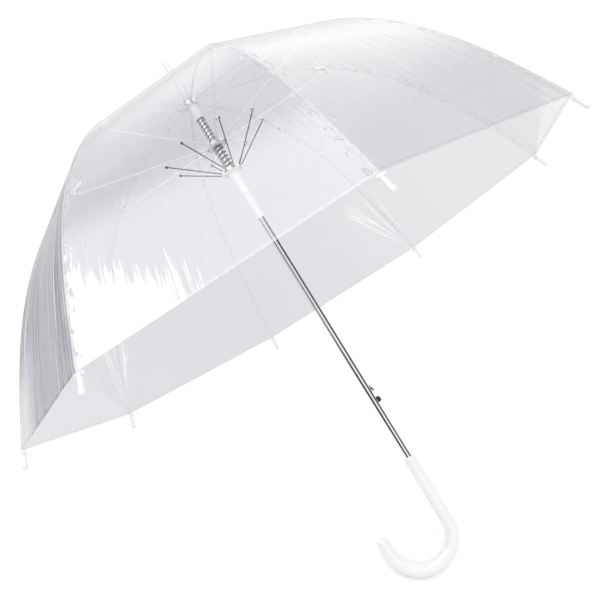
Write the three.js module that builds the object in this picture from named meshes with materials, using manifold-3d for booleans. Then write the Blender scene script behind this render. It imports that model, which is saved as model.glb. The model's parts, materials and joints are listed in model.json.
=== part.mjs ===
import * as THREE from 'three';
import { mergeVertices } from 'three/addons/utils/BufferGeometryUtils.js';
import Module from 'manifold-3d';

// Clear dome umbrella with eight ribs, standing open on two rib tips and its hooked handle.
// Lengths are in millimetres and angles in degrees. The umbrella is drawn with its shaft along Z,
// the crown pins at height zero and +X on the side that lies on the floor, and is tilted at the end.
// A radial plane has x outwards from the shaft axis, z up the shaft and y across.

const wasm = await Module();
wasm.setup();

const gap = 0.3; // between pieces that touch or run on each other
const overrun = 1; // how far a cut runs past the face that it leaves
const ribCount = 8;
const degree = Math.PI / 180;
const gore = 360 / ribCount;
const ribOrder = [...Array(ribCount).keys()];

const sides = { turned: 24, rod: 6, pin: 8, arc: 2, handle: 14, ring: 24 };

const shaft = { radius: 5, wall: 0.8, top: 46 };

// the rib bends most at the stretcher joint and runs straight at the crown and at the tip
const rib = {
  length: 562,
  innerLength: 205.7,
  crownAngle: -4.4,
  bendRadius: 265,
  radius: 1.5,
  outerRadius: 1.3,
  innerSteps: 6,
  outerSteps: 10,
};

const tongue = { thickness: 2.4, eyeRadius: 2.2, length: 9, overlap: 2 };

const joiner = { start: 17, slotStart: 8, radius: 2.3, cheek: 1.2, pinDrop: 6, pinRadius: 0.7 };

const crown = {
  pinRadius: 9.5,
  ringWire: 0.6,
  flangeRadius: 13,
  flangeTop: 3,
  flangeBottom: -4,
  sleeveRadius: 6.4,
  sleeveBottom: -27,
  slotWall: 1.5,
};

const film = { thickness: 0.2, lift: 3.9, crownReach: 14, joinLength: 25, steps: 12, across: 4 };

const washer = { radius: 8.5, thickness: 1.2 };

const ferrule = {
  length: 75.7,
  baseRadius: 9,
  baseHeight: 2.4,
  neckRadius: 6.6,
  endRadius: 5.2,
  chamfer: 0.8,
};

const tip = {
  length: 24,
  baseRadius: 2.9,
  endRadius: 3.5,
  boreDepth: 14,
  earSpan: 10,
  earLength: 3.4,
  earThickness: 4.4,
  domeSteps: 3,
};

const stretcher = {
  radius: 1.4,
  hubRadius: 14.5,
  hubHeight: -73,
  midLength: 64.8,
  midDrop: 6.1,
  eyeRadius: 1.9,
};
const hubEnd = { radius: 1.2, length: 9 };
const midPin = { radius: 0.7, headRadius: 1.3, head: 0.6, eyeRadius: 1.9 };
const link = { radius: 0.8, hubRadius: 14.5, hubHeight: -117.2, endRadius: 1.6 };

const hub = { flangeRadius: 16.8, flangeHalf: 2.6, coreRadius: 7.5, coreTop: -69, slotStart: 11.9 };

const runner = {
  flangeRadius: 16.8,
  flangeHalf: 2.6,
  upperRadius: 6.9,
  upperEnd: -154,
  collarRadius: 7.6,
  collarLength: 4,
  lowerRadius: 6.4,
  bottom: -199,
  slotStart: 8.5,
  linkSlotStart: 12.3,
  windowHeight: -188.9,
  windowHalf: 7.5,
};

const mainSpring = { radius: 7, wire: 0.65, turns: 7 };
const bufferSpring = { radius: 6, wire: 0.5, turns: 8, length: 40 };
const coil = { steps: 8, sides: 5 };

// where the pins and the tips lie when the umbrella is shut
const shut = { pinRadius: 15.5, tipRadius: 17 };

// the catch stands where the runner's window comes to rest, and the button this far below it
const catchLeaf = { length: 10, reach: 3.2, thickness: 1.6, depth: 4.6, wall: 1.6 };
const button = { below: 18.1, length: 8.4, reach: 4.6, thickness: 3.2, depth: 4.6 };
const catchSpring = { thickness: 0.5, width: 2.4, margin: 6, back: 3.4 };

const handle = {
  top: -589.3,
  socket: 50,
  straight: 96.2,
  bendRadius: 45.3,
  bendAngle: 176,
  endLength: 24.4,
  azimuth: 48.9,
  steps: 26,
  endFillet: 2,
  radii: [8.5, 9.3, 10.2, 10.9, 9.6, 8.2],
};
// where the handle has those radii, as shares of its length
const handleShares = [0, 0.35, 0.6, 0.78, 0.93, 1];

const lean = { least: 30, most: 70, halvings: 40 };

const chrome = new THREE.MeshStandardMaterial({ color: 0xd8dade, roughness: 0.12, metalness: 1 });
const steel = new THREE.MeshStandardMaterial({ color: 0x55585e, roughness: 0.35, metalness: 1 });
const whitePlastic = new THREE.MeshStandardMaterial({ color: 0xf4f5f7, roughness: 0.25, metalness: 0 });
const whiteFibre = new THREE.MeshStandardMaterial({ color: 0xeceef0, roughness: 0.45, metalness: 0 });
const clearFilm = new THREE.MeshStandardMaterial({
  color: 0xe6e9ee,
  roughness: 0.08,
  metalness: 0,
  transparent: true,
  opacity: 0.3,
});

// solids

function signedVolume(geometry) {
  const at = geometry.attributes.position;
  const index = geometry.index;
  const [a, b, c] = [new THREE.Vector3(), new THREE.Vector3(), new THREE.Vector3()];
  let sum = 0;
  for (let i = 0; i < index.count; i += 3) {
    a.fromBufferAttribute(at, index.getX(i));
    b.fromBufferAttribute(at, index.getX(i + 1));
    c.fromBufferAttribute(at, index.getX(i + 2));
    sum += a.dot(b.cross(c));
  }
  return sum;
}

function solid(source) {
  const bare = source.clone();
  bare.deleteAttribute('normal');
  bare.deleteAttribute('uv');
  const merged = mergeVertices(bare);
  const triangles = Uint32Array.from(merged.index.array);
  if (signedVolume(merged) < 0) {
    for (let i = 0; i < triangles.length; i += 3) {
      [triangles[i], triangles[i + 1]] = [triangles[i + 1], triangles[i]];
    }
  }
  const vertices = Float32Array.from(merged.attributes.position.array);
  return new wasm.Manifold(new wasm.Mesh({ numProp: 3, vertProperties: vertices, triVerts: triangles }));
}

function geometryOf(manifold) {
  const mesh = manifold.getMesh();
  const geometry = new THREE.BufferGeometry();
  geometry.setAttribute('position', new THREE.Float32BufferAttribute(mesh.vertProperties, 3));
  geometry.setIndex(Array.from(mesh.triVerts));
  geometry.computeVertexNormals();
  return geometry;
}

function joined(...parts) {
  return parts.reduce((whole, part) => whole.add(part));
}

// a bore of this many flat sides clears a round piece of the radius by the gap
function boreRadius(radius, flats = sides.turned) {
  return (radius + gap) / Math.cos(Math.PI / flats);
}

// a profile of [radius, height] points turned about Z; it starts and ends on the axis or closes
function turned(profile, flats = sides.turned) {
  const points = profile.map(([r, z]) => new THREE.Vector2(r, z));
  return solid(new THREE.LatheGeometry(points, flats).rotateX(90 * degree));
}

function cylinder(radius, bottom, top, flats = sides.turned) {
  return turned([[0, bottom], [radius, bottom], [radius, top], [0, top]], flats);
}

function tube(outer, inner, bottom, top) {
  return turned([[inner, bottom], [outer, bottom], [outer, top], [inner, top], [inner, bottom]]);
}

function block([x0, x1], [y0, y1], [z0, z1]) {
  const box = new THREE.BoxGeometry(x1 - x0, y1 - y0, z1 - z0);
  return solid(box.translate((x0 + x1) / 2, (y0 + y1) / 2, (z0 + z1) / 2));
}

// an outline in the radial plane, given thickness across it
function plate(shape, from, to) {
  const extruded = new THREE.ExtrudeGeometry(shape, {
    depth: to - from,
    bevelEnabled: false,
    curveSegments: sides.arc,
  });
  return solid(extruded.rotateX(90 * degree).translate(0, to, 0));
}

// the outline round two equal circles
function strap(p, q, radius) {
  const along = Math.atan2(q.z - p.z, q.x - p.x);
  const shape = new THREE.Shape();
  shape.absarc(q.x, q.z, radius, along - Math.PI / 2, along + Math.PI / 2, false);
  shape.absarc(p.x, p.z, radius, along + Math.PI / 2, along + 1.5 * Math.PI, false);
  return shape;
}

// a round pin or hole across the radial plane
function crossPin(at, radius, from, to) {
  const pin = new THREE.CylinderGeometry(radius, radius, to - from, sides.pin);
  return solid(pin.translate(at.x, (from + to) / 2, at.z));
}

function crossHole(at, pinRadius, halfThickness) {
  return crossPin(at, boreRadius(pinRadius, sides.pin), -halfThickness - overrun, halfThickness + overrun);
}

// rings of points round a path in the radial plane, closed with flat ends
function sweep(path, radiusAt, flats) {
  const positions = [];
  const triangles = [];
  path.forEach((point, i) => {
    const before = path[Math.max(i - 1, 0)];
    const after = path[Math.min(i + 1, path.length - 1)];
    const length = Math.hypot(after.x - before.x, after.z - before.z);
    const side = { x: -(after.z - before.z) / length, z: (after.x - before.x) / length };
    for (let k = 0; k < flats; k += 1) {
      const turn = (2 * Math.PI * (k + 0.5)) / flats;
      const out = radiusAt(i) * Math.cos(turn);
      positions.push(point.x + out * side.x, radiusAt(i) * Math.sin(turn), point.z + out * side.z);
    }
  });
  const last = (path.length - 1) * flats;
  for (let i = 0; i < last; i += flats) {
    for (let k = 0; k < flats; k += 1) {
      const next = (k + 1) % flats;
      triangles.push(i + k, i + next, i + flats + k);
      triangles.push(i + next, i + flats + next, i + flats + k);
    }
  }
  for (let k = 1; k < flats - 1; k += 1) {
    triangles.push(0, k + 1, k);
    triangles.push(last, last + k, last + k + 1);
  }
  const geometry = new THREE.BufferGeometry();
  geometry.setAttribute('position', new THREE.Float32BufferAttribute(positions, 3));
  geometry.setIndex(triangles);
  return solid(geometry);
}

// a straight round bar in the radial plane
function rod(from, to, radius, flats = sides.rod) {
  const bar = new THREE.CylinderGeometry(radius, radius, between(from, to), flats);
  const slope = Math.atan2(to.z - from.z, to.x - from.x);
  bar.rotateX(90 * degree).rotateY(90 * degree - slope);
  return solid(bar.translate((from.x + to.x) / 2, 0, (from.z + to.z) / 2));
}

// one unbroken wire wound about Z, with a short straight leg at each end
function wound({ radius, wire, turns }, bottom, top, name) {
  const leg = 2 * wire;
  const count = turns * coil.steps;
  const centre = [];
  for (let i = 0; i <= count; i += 1) {
    const turn = (2 * Math.PI * i) / coil.steps;
    const height = bottom + leg + ((top - bottom - 2 * leg) * i) / count;
    centre.push(new THREE.Vector3(radius * Math.cos(turn), radius * Math.sin(turn), height));
  }
  const least = leastGap(centre, wire);
  console.log(`${name}: least gap between its curls ${least.toFixed(2)} mm`);
  centre.unshift(new THREE.Vector3(centre[0].x, centre[0].y, bottom));
  centre.push(new THREE.Vector3(centre.at(-1).x, centre.at(-1).y, top));
  const positions = [];
  const triangles = [];
  centre.forEach((point, i) => {
    const before = centre[Math.max(i - 1, 0)];
    const after = centre[Math.min(i + 1, centre.length - 1)];
    const along = after.clone().sub(before).normalize();
    const out = new THREE.Vector3(point.x, point.y, 0).normalize();
    const up = along.clone().cross(out).normalize();
    const level = up.clone().cross(along).normalize();
    for (let k = 0; k < coil.sides; k += 1) {
      const turn = (2 * Math.PI * k) / coil.sides;
      const at = point.clone();
      at.addScaledVector(level, wire * Math.cos(turn)).addScaledVector(up, wire * Math.sin(turn));
      positions.push(at.x, at.y, at.z);
    }
  });
  const last = (centre.length - 1) * coil.sides;
  for (let i = 0; i < last; i += coil.sides) {
    for (let k = 0; k < coil.sides; k += 1) {
      const next = (k + 1) % coil.sides;
      triangles.push(i + k, i + next, i + coil.sides + k);
      triangles.push(i + next, i + coil.sides + next, i + coil.sides + k);
    }
  }
  for (let k = 1; k < coil.sides - 1; k += 1) {
    triangles.push(0, k + 1, k);
    triangles.push(last, last + k, last + k + 1);
  }
  const geometry = new THREE.BufferGeometry();
  geometry.setAttribute('position', new THREE.Float32BufferAttribute(positions, 3));
  geometry.setIndex(triangles);
  return geometry;
}

function leastGap(centre, wire) {
  let least = Infinity;
  centre.forEach((point, i) => {
    for (let j = i + coil.steps / 2; j < centre.length; j += 1) {
      least = Math.min(least, point.distanceTo(centre[j]) - 2 * wire);
    }
  });
  return least;
}

function evenSteps(count) {
  return Array.from({ length: count + 1 }, (_, i) => i / count);
}

// where the pieces lie in a radial plane

function ribSlope(along) {
  const { innerLength, length, bendRadius } = rib;
  const inner = Math.min(along, innerLength);
  const outer = Math.max(along - innerLength, 0);
  const turn = inner ** 2 / (2 * innerLength) + outer - outer ** 2 / (2 * (length - innerLength));
  return rib.crownAngle * degree - turn / bendRadius;
}

function ribPoint(along) {
  const steps = 200;
  const point = { x: crown.pinRadius, z: 0 };
  for (let i = 0; i < steps; i += 1) {
    const slope = ribSlope((along * (i + 0.5)) / steps);
    point.x += (along / steps) * Math.cos(slope);
    point.z += (along / steps) * Math.sin(slope);
  }
  return point;
}

// a point this far above the rib
function above(along, height) {
  const slope = ribSlope(along);
  const point = ribPoint(along);
  return { x: point.x - height * Math.sin(slope), z: point.z + height * Math.cos(slope) };
}

function minus(p, q) {
  return { x: p.x - q.x, z: p.z - q.z };
}

function between(p, q) {
  return Math.hypot(q.x - p.x, q.z - p.z);
}

function ahead(p, direction, distance) {
  return { x: p.x + distance * Math.cos(direction), z: p.z + distance * Math.sin(direction) };
}

const crownPin = { x: crown.pinRadius, z: 0 };
const flexPin = ribPoint(rib.innerLength);
const outerPin = above(rib.innerLength, -joiner.pinDrop);
const hubPin = { x: stretcher.hubRadius, z: stretcher.hubHeight };
const stretcherLength = between(hubPin, outerPin);
const stretcherSlope = Math.atan2(outerPin.z - hubPin.z, outerPin.x - hubPin.x);
const midFoot = ahead(hubPin, stretcherSlope, stretcher.midLength);
const middlePin = ahead(midFoot, stretcherSlope - Math.PI / 2, stretcher.midDrop);
const runnerPin = { x: link.hubRadius, z: link.hubHeight };
const linkLength = between(runnerPin, middlePin);
const linkSlope = Math.atan2(middlePin.z - runnerPin.z, middlePin.x - runnerPin.x);
const linkOffset = stretcher.radius + gap + link.radius;
const rimCorner = ribPoint(rib.length);
const rimSlope = ribSlope(rib.length);

// the same linkage with the umbrella shut: every pin circle is kept, so the hub travels follow
function foldOf() {
  const reach = between(crownPin, outerPin);
  const ribStart = Math.atan2(-outerPin.z, outerPin.x - crownPin.x);
  const ribShut = Math.acos((shut.pinRadius - crownPin.x) / reach);
  const stretcherShut = Math.acos((shut.pinRadius - hubPin.x) / stretcherLength);
  const hubShut = -reach * Math.sin(ribShut) - stretcherLength * Math.sin(stretcherShut);
  const foot = ahead({ x: hubPin.x, z: hubShut }, stretcherShut, stretcher.midLength);
  const middle = ahead(foot, stretcherShut - Math.PI / 2, stretcher.midDrop);
  const linkShut = Math.acos((middle.x - runnerPin.x) / linkLength);
  const runnerShut = middle.z - linkLength * Math.sin(linkShut);
  const ribTurn = ribShut - ribStart;
  const flexReach = between(crownPin, flexPin);
  const flexShut = Math.atan2(-flexPin.z, flexPin.x - crownPin.x) + ribTurn;
  const flexAt = { x: crownPin.x + flexReach * Math.cos(flexShut), z: -flexReach * Math.sin(flexShut) };
  const lowerReach = between(flexPin, rimCorner);
  const lowerStart = Math.atan2(flexPin.z - rimCorner.z, rimCorner.x - flexPin.x);
  const lowerShut = Math.acos((shut.tipRadius - flexAt.x) / lowerReach);
  return {
    runnerTravel: runnerPin.z - runnerShut,
    hubTravel: hubPin.z - hubShut,
    ribTurn: ribTurn / degree,
    lowerRibTurn: (lowerShut - lowerStart - ribTurn) / degree,
    stretcherTurn: -(stretcherShut - stretcherSlope + ribTurn) / degree,
    linkTurn: (stretcherShut - stretcherSlope - (linkShut - linkSlope)) / degree,
  };
}

const fold = foldOf();
const catchHeight = runner.windowHeight - fold.runnerTravel;
const buttonHeight = catchHeight - button.below;

// pieces on the shaft

const handleLength = handle.straight + handle.bendRadius * handle.bendAngle * degree + handle.endLength;
const handlePath = evenSteps(handle.steps).map((share) => handlePoint(handleLength * share));

function handlePoint(along) {
  const bend = handle.bendRadius * handle.bendAngle * degree;
  const turn = Math.min(Math.max(along - handle.straight, 0), bend) / handle.bendRadius;
  const past = Math.max(along - handle.straight - bend, 0);
  const down = Math.min(along, handle.straight) + handle.bendRadius * Math.sin(turn) + past * Math.cos(turn);
  const across = handle.bendRadius * (1 - Math.cos(turn)) + past * Math.sin(turn);
  return { x: across, z: handle.top - down };
}

function handleRadius(share) {
  const next = Math.max(handleShares.findIndex((step) => step >= share), 1);
  const part = (share - handleShares[next - 1]) / (handleShares[next] - handleShares[next - 1]);
  const eased = part * part * (3 - 2 * part);
  const [low, high] = [handle.radii[next - 1], handle.radii[next]];
  return low + (high - low) * eased;
}

function handleSolid() {
  const { steps, endFillet } = handle;
  const path = [...handlePath];
  const radii = path.map((_, i) => handleRadius(i / steps));
  path.splice(steps, 0, handlePoint(handleLength - endFillet));
  radii.splice(steps, 0, radii[steps]);
  radii[steps + 1] -= endFillet;
  const bar = sweep(path, (i) => radii[i], sides.handle);
  const socket = cylinder(boreRadius(shaft.radius), handle.top - handle.socket - gap, handle.top + overrun);
  return bar.subtract(socket);
}

function catchWindow(piece, height) {
  const half = piece.thickness / 2 + gap;
  const reach = piece.length / 2 + gap;
  return block([0, shaft.radius + overrun], [-half, half], [height - reach, height + reach]);
}

function shaftSolid() {
  const bottom = handle.top - handle.socket;
  const pipe = tube(shaft.radius, shaft.radius - shaft.wall, bottom, shaft.top);
  const windows = joined(catchWindow(catchLeaf, catchHeight), catchWindow(button, buttonHeight));
  return pipe.subtract(windows.rotate([0, 0, handle.azimuth + 180]));
}

// the leaf slopes out from its upper end, so that the runner pushes it in on its way down
function catchLeafSolid() {
  const { length, reach, thickness, depth, wall } = catchLeaf;
  const [top, bottom] = [catchHeight + length / 2, catchHeight - length / 2];
  const out = shaft.radius + reach;
  const foot = bottom + 2 * wall;
  const shape = new THREE.Shape();
  shape.moveTo(shaft.radius - depth, foot);
  shape.lineTo(shaft.radius, foot);
  shape.lineTo(out - wall, bottom);
  shape.lineTo(out, bottom);
  shape.lineTo(out, bottom + wall / 2);
  shape.lineTo(shaft.radius, top);
  shape.lineTo(shaft.radius - depth, top);
  return plate(shape, -thickness / 2, thickness / 2);
}

function buttonSolid() {
  const { length, reach, thickness, depth } = button;
  const [top, bottom] = [buttonHeight + length / 2, buttonHeight - length / 2];
  const out = shaft.radius + reach;
  const blunt = reach / 3;
  const shape = new THREE.Shape();
  shape.moveTo(shaft.radius - depth, bottom);
  shape.lineTo(out - blunt, bottom);
  shape.lineTo(out, bottom + blunt);
  shape.lineTo(out, top - 2 * blunt);
  shape.lineTo(out - blunt, top);
  shape.lineTo(shaft.radius - depth, top);
  return plate(shape, -thickness / 2, thickness / 2);
}

// a leaf spring folded in the tube behind the catch and the button
function catchSpringSolid() {
  const { thickness, width, margin, back } = catchSpring;
  const top = catchHeight + catchLeaf.length / 2 + margin;
  const bottom = buttonHeight - button.length / 2;
  const face = shaft.radius - catchLeaf.depth - gap;
  const shape = new THREE.Shape();
  shape.moveTo(-back, top);
  shape.lineTo(-back, bottom);
  shape.lineTo(face, bottom);
  shape.lineTo(face, top - margin);
  shape.lineTo(face - thickness, top - margin);
  shape.lineTo(face - thickness, bottom + thickness);
  shape.lineTo(thickness - back, bottom + thickness);
  shape.lineTo(thickness - back, top);
  return plate(shape, -width / 2, width / 2);
}

// eight cuts from this radius outwards, between these places across
function radialSlots(start, end, [y0, y1], [z0, z1]) {
  const cut = block([start, end + overrun], [y0, y1], [z0, z1]);
  return joined(...ribOrder.map((k) => cut.rotate([0, 0, gore * (k + 0.5)])));
}

function crownNotchSolid() {
  const { flangeRadius, flangeTop, flangeBottom, sleeveRadius, sleeveBottom } = crown;
  const bore = boreRadius(shaft.radius);
  const half = tongue.thickness / 2 + gap;
  const body = turned([
    [bore, sleeveBottom],
    [sleeveRadius, sleeveBottom],
    [sleeveRadius, flangeBottom],
    [flangeRadius, flangeBottom],
    [flangeRadius, flangeTop],
    [bore, flangeTop],
    [bore, sleeveBottom],
  ]);
  const height = [flangeBottom - overrun, flangeTop + overrun];
  const slots = radialSlots(bore + crown.slotWall, flangeRadius, [-half, half], height);
  const room = boreRadius(crown.ringWire);
  const groove = tube(crown.pinRadius + room, crown.pinRadius - room, -room, flangeTop + overrun);
  return body.subtract(slots).subtract(groove);
}

function stretcherHubSolid() {
  const { flangeRadius, flangeHalf, coreRadius, coreTop, slotStart } = hub;
  const bore = boreRadius(shaft.radius);
  const [low, high] = [stretcher.hubHeight - flangeHalf, stretcher.hubHeight + flangeHalf];
  const body = turned([
    [bore, low],
    [flangeRadius, low],
    [flangeRadius, high],
    [coreRadius, high],
    [coreRadius, coreTop],
    [bore, coreTop],
    [bore, low],
  ]);
  const across = [-stretcher.radius - gap, linkOffset + link.radius + gap];
  return body.subtract(radialSlots(slotStart, flangeRadius, across, [low - overrun, high + overrun]));
}

function runnerSolid() {
  const { flangeRadius, flangeHalf, upperRadius, upperEnd, lowerRadius, bottom } = runner;
  const { collarRadius, collarLength } = runner;
  const bore = boreRadius(shaft.radius);
  const [low, high] = [link.hubHeight - flangeHalf, link.hubHeight + flangeHalf];
  const body = turned([
    [bore, bottom],
    [lowerRadius, bottom],
    [lowerRadius, upperEnd - collarLength],
    [collarRadius, upperEnd - collarLength],
    [collarRadius, upperEnd],
    [upperRadius, upperEnd],
    [upperRadius, low],
    [flangeRadius, low],
    [flangeRadius, high],
    [bore, high],
    [bore, bottom],
  ]);
  const height = [low - overrun, high + overrun];
  const half = stretcher.radius + gap;
  const passing = radialSlots(runner.slotStart, flangeRadius, [-half, half], height);
  const across = [linkOffset - link.radius - gap, linkOffset + link.radius + gap];
  const holding = radialSlots(runner.linkSlotStart, flangeRadius, across, height);
  const side = catchLeaf.thickness / 2 + 2 * gap;
  const along = [runner.windowHeight - runner.windowHalf, runner.windowHeight + runner.windowHalf];
  const window = block([0, lowerRadius + overrun], [-side, side], along);
  return body.subtract(passing).subtract(holding).subtract(window.rotate([0, 0, handle.azimuth + 180]));
}

function ferruleSolid() {
  const { length, baseRadius, baseHeight, neckRadius, endRadius, chamfer } = ferrule;
  const base = washerBottom() + washer.thickness + gap;
  const bore = boreRadius(shaft.radius);
  const inside = shaft.top + gap;
  return turned([
    [bore, base],
    [baseRadius, base],
    [baseRadius, base + baseHeight / 2],
    [neckRadius, base + 2 * baseHeight],
    [endRadius, inside + neckRadius],
    [endRadius, length - chamfer],
    [endRadius - chamfer, length],
    [0, length],
    [0, inside],
    [bore, inside],
    [bore, base],
  ]);
}

function filmBottom() {
  return crown.flangeTop + gap;
}

function washerBottom() {
  return filmBottom() + film.thickness + gap;
}

// the film lies flat between each two ribs, so a section across the shaft has eight corners
function filmGeometry() {
  const { thickness, lift, crownReach, joinLength, steps, across } = film;
  const bottom = filmBottom();
  const hole = boreRadius(shaft.radius, ribCount);
  const inner = [{ x: hole, z: bottom }, { x: crownReach, z: bottom }];
  const outer = [{ x: hole, z: bottom + thickness }, { x: crownReach, z: bottom + thickness }];
  for (let i = 0; i <= steps; i += 1) {
    const along = joinLength + ((rib.length - joinLength) * i) / steps;
    inner.push(above(along, lift));
    outer.push(above(along, lift + thickness));
  }
  const loop = [...inner, ...outer.reverse()];
  const around = ribCount * across;
  const positions = [];
  const triangles = [];
  for (let k = 0; k < around; k += 1) {
    const offCentre = (((k % across) / across) * gore - gore / 2) * degree;
    const flat = Math.cos((gore / 2) * degree) / Math.cos(offCentre);
    const turn = (gore * (k / across + 0.5)) * degree;
    loop.forEach(({ x, z }) => positions.push(x * flat * Math.cos(turn), x * flat * Math.sin(turn), z));
  }
  for (let k = 0; k < around; k += 1) {
    const [here, there] = [k * loop.length, ((k + 1) % around) * loop.length];
    loop.forEach((_, i) => {
      const next = (i + 1) % loop.length;
      triangles.push(here + i, there + i, here + next);
      triangles.push(there + i, there + next, here + next);
    });
  }
  const geometry = new THREE.BufferGeometry();
  geometry.setAttribute('position', new THREE.Float32BufferAttribute(positions, 3));
  geometry.setIndex(triangles);
  return geometry;
}

// pieces of one rib assembly, each drawn about its own pin

function moved(piece, pin) {
  return piece.translate([-pin.x, 0, -pin.z]);
}

function ribUpperSolid() {
  const { innerLength, innerSteps, radius } = rib;
  const start = tongue.length - tongue.overlap;
  const end = innerLength - (joiner.start + joiner.slotStart) / 2;
  const path = evenSteps(innerSteps).map((share) => ribPoint(start + (end - start) * share));
  const half = tongue.thickness / 2;
  const eye = joined(
    crossPin(crownPin, tongue.eyeRadius, -half, half),
    plate(strap(crownPin, ribPoint(tongue.length), half), -half, half),
  );
  const whole = joined(sweep(path, () => radius, sides.rod), eye, joinerSolid());
  return moved(whole.subtract(crossHole(crownPin, crown.ringWire, half)), crownPin);
}

// a forked block on the rib's end, with one pin for the outer rib and one for the stretcher
function joinerSolid() {
  const { innerLength } = rib;
  const { start, slotStart, radius, cheek, pinDrop, pinRadius } = joiner;
  const inside = tongue.thickness / 2 + gap;
  const outside = inside + cheek;
  const body = joined(
    plate(strap(ribPoint(innerLength - start), flexPin, radius), -outside, outside),
    plate(strap(flexPin, outerPin, radius), -outside, outside),
  );
  const past = radius + overrun;
  const slot = new THREE.Shape();
  slot.setFromPoints(
    [
      above(innerLength - slotStart, past),
      above(innerLength + past, past),
      above(innerLength + past, -pinDrop - past),
      above(innerLength - slotStart, -pinDrop - past),
    ].map(({ x, z }) => new THREE.Vector2(x, z)),
  );
  const reach = inside + cheek / 2;
  const pins = [flexPin, outerPin].map((pin) => crossPin(pin, pinRadius, -reach, reach));
  return joined(body.subtract(plate(slot, -inside, inside)), ...pins);
}

function ribLowerSolid() {
  const { innerLength, length, outerRadius, outerSteps } = rib;
  const start = innerLength + tongue.length - tongue.overlap;
  const path = evenSteps(outerSteps).map((share) => ribPoint(start + (length - start) * share));
  path.push(ahead(rimCorner, rimSlope, tip.boreDepth));
  const half = tongue.thickness / 2;
  const eye = joined(
    crossPin(flexPin, stretcher.eyeRadius, -half, half),
    plate(strap(flexPin, ribPoint(innerLength + tongue.length), half), -half, half),
  );
  const whole = joined(sweep(path, () => outerRadius, sides.rod), eye);
  return moved(whole.subtract(crossHole(flexPin, joiner.pinRadius, half)), flexPin);
}

// drawn along x, from the corner of the film outwards
function ribTipSolid() {
  const { length, baseRadius, endRadius, boreDepth, earSpan, earLength, earThickness } = tip;
  const bore = boreRadius(rib.outerRadius, sides.pin);
  const dome = evenSteps(tip.domeSteps).map((share) => {
    const turn = (share * Math.PI) / 2;
    return [endRadius * Math.cos(turn), length - endRadius * (1 - Math.sin(turn))];
  });
  const body = turned(
    [
      [bore, gap],
      [baseRadius, gap],
      [baseRadius, length / 2],
      ...dome,
      [0, boreDepth + gap],
      [bore, boreDepth + gap],
      [bore, gap],
    ],
    sides.pin,
  ).rotate([0, 90, 0]);
  const half = earSpan / 2;
  const ears = block([gap, gap + earLength], [-half, half], [-earThickness / 2, earThickness / 2]);
  const hole = cylinder(bore, -overrun, earLength + overrun, sides.pin).rotate([0, 90, 0]);
  return joined(body, ears.subtract(hole));
}

function stretcherSolid() {
  const half = tongue.thickness / 2;
  const rodStart = ahead(hubPin, stretcherSlope, hubEnd.length - tongue.overlap);
  const rodEnd = ahead(outerPin, stretcherSlope, tongue.overlap - tongue.length);
  const pinOut = linkOffset + link.radius + gap + midPin.head;
  const whole = joined(
    rod(rodStart, rodEnd, stretcher.radius),
    plate(strap(hubPin, ahead(hubPin, stretcherSlope, hubEnd.length), hubEnd.radius), -half, half),
    plate(strap(outerPin, ahead(outerPin, stretcherSlope, -tongue.length), half), -half, half),
    crossPin(outerPin, stretcher.eyeRadius, -half, half),
    plate(strap(midFoot, middlePin, midPin.eyeRadius), -half, half),
    crossPin(middlePin, midPin.radius, 0, pinOut),
    crossPin(middlePin, midPin.headRadius, pinOut - midPin.head, pinOut),
  );
  return moved(whole.subtract(crossHole(outerPin, joiner.pinRadius, half)), outerPin);
}

function linkSolid() {
  const half = link.radius;
  const start = ahead(runnerPin, linkSlope, link.radius);
  const end = ahead(middlePin, linkSlope, -midPin.radius - gap);
  const whole = joined(
    rod(start, end, link.radius),
    crossPin(runnerPin, link.endRadius, -half, half),
    crossPin(middlePin, midPin.eyeRadius, -half, half),
  );
  const open = whole
    .subtract(crossHole(middlePin, midPin.radius, half))
    .subtract(crossPin(runnerPin, link.radius, -half - overrun, half + overrun));
  return moved(open.translate([0, linkOffset, 0]), middlePin);
}

// the whole umbrella

function mesh(name, shape, material, at = { x: 0, z: 0 }) {
  const geometry = shape.isBufferGeometry ? shape : geometryOf(shape);
  const piece = new THREE.Mesh(geometry, material);
  piece.name = name;
  piece.position.set(at.x, 0, at.z);
  return piece;
}

function turnedTo(azimuth, ...pieces) {
  const group = new THREE.Group();
  group.rotation.z = azimuth * degree;
  group.add(...pieces);
  return group;
}

function closed(geometry) {
  return geometryOf(solid(geometry));
}

const ribPieces = [
  { name: 'rib_upper', shape: geometryOf(ribUpperSolid()), material: whiteFibre, at: crownPin },
  { name: 'rib_lower', shape: geometryOf(ribLowerSolid()), material: whiteFibre, at: flexPin },
  { name: 'rib_tip', shape: geometryOf(ribTipSolid()), material: whitePlastic, at: rimCorner, slope: rimSlope },
  { name: 'stretcher', shape: geometryOf(stretcherSolid()), material: whitePlastic, at: outerPin },
  { name: 'link', shape: geometryOf(linkSolid()), material: steel, at: middlePin },
];

function ribAssembly(k) {
  const pieces = ribPieces.map(({ name, shape, material, at, slope = 0 }) => {
    const piece = mesh(`${name}_${k + 1}`, shape, material, at);
    piece.rotation.y = -slope;
    return piece;
  });
  return turnedTo(gore * (k + 0.5), ...pieces);
}

function springs() {
  const hubFoot = stretcher.hubHeight - hub.flangeHalf - gap;
  const runnerTop = link.hubHeight + runner.flangeHalf + gap;
  const crownFoot = crown.sleeveBottom - gap;
  const buffer = wound(bufferSpring, crownFoot - bufferSpring.length, crownFoot, 'buffer_spring');
  return [
    mesh('main_spring', closed(wound(mainSpring, runnerTop, hubFoot, 'main_spring')), steel),
    mesh('buffer_spring', closed(buffer), chrome),
  ];
}

const washerFoot = washerBottom();
const washerRing = tube(washer.radius, boreRadius(shaft.radius), washerFoot, washerFoot + washer.thickness);
const crownRing = new THREE.TorusGeometry(crown.pinRadius, crown.ringWire, sides.rod, sides.ring);

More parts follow.
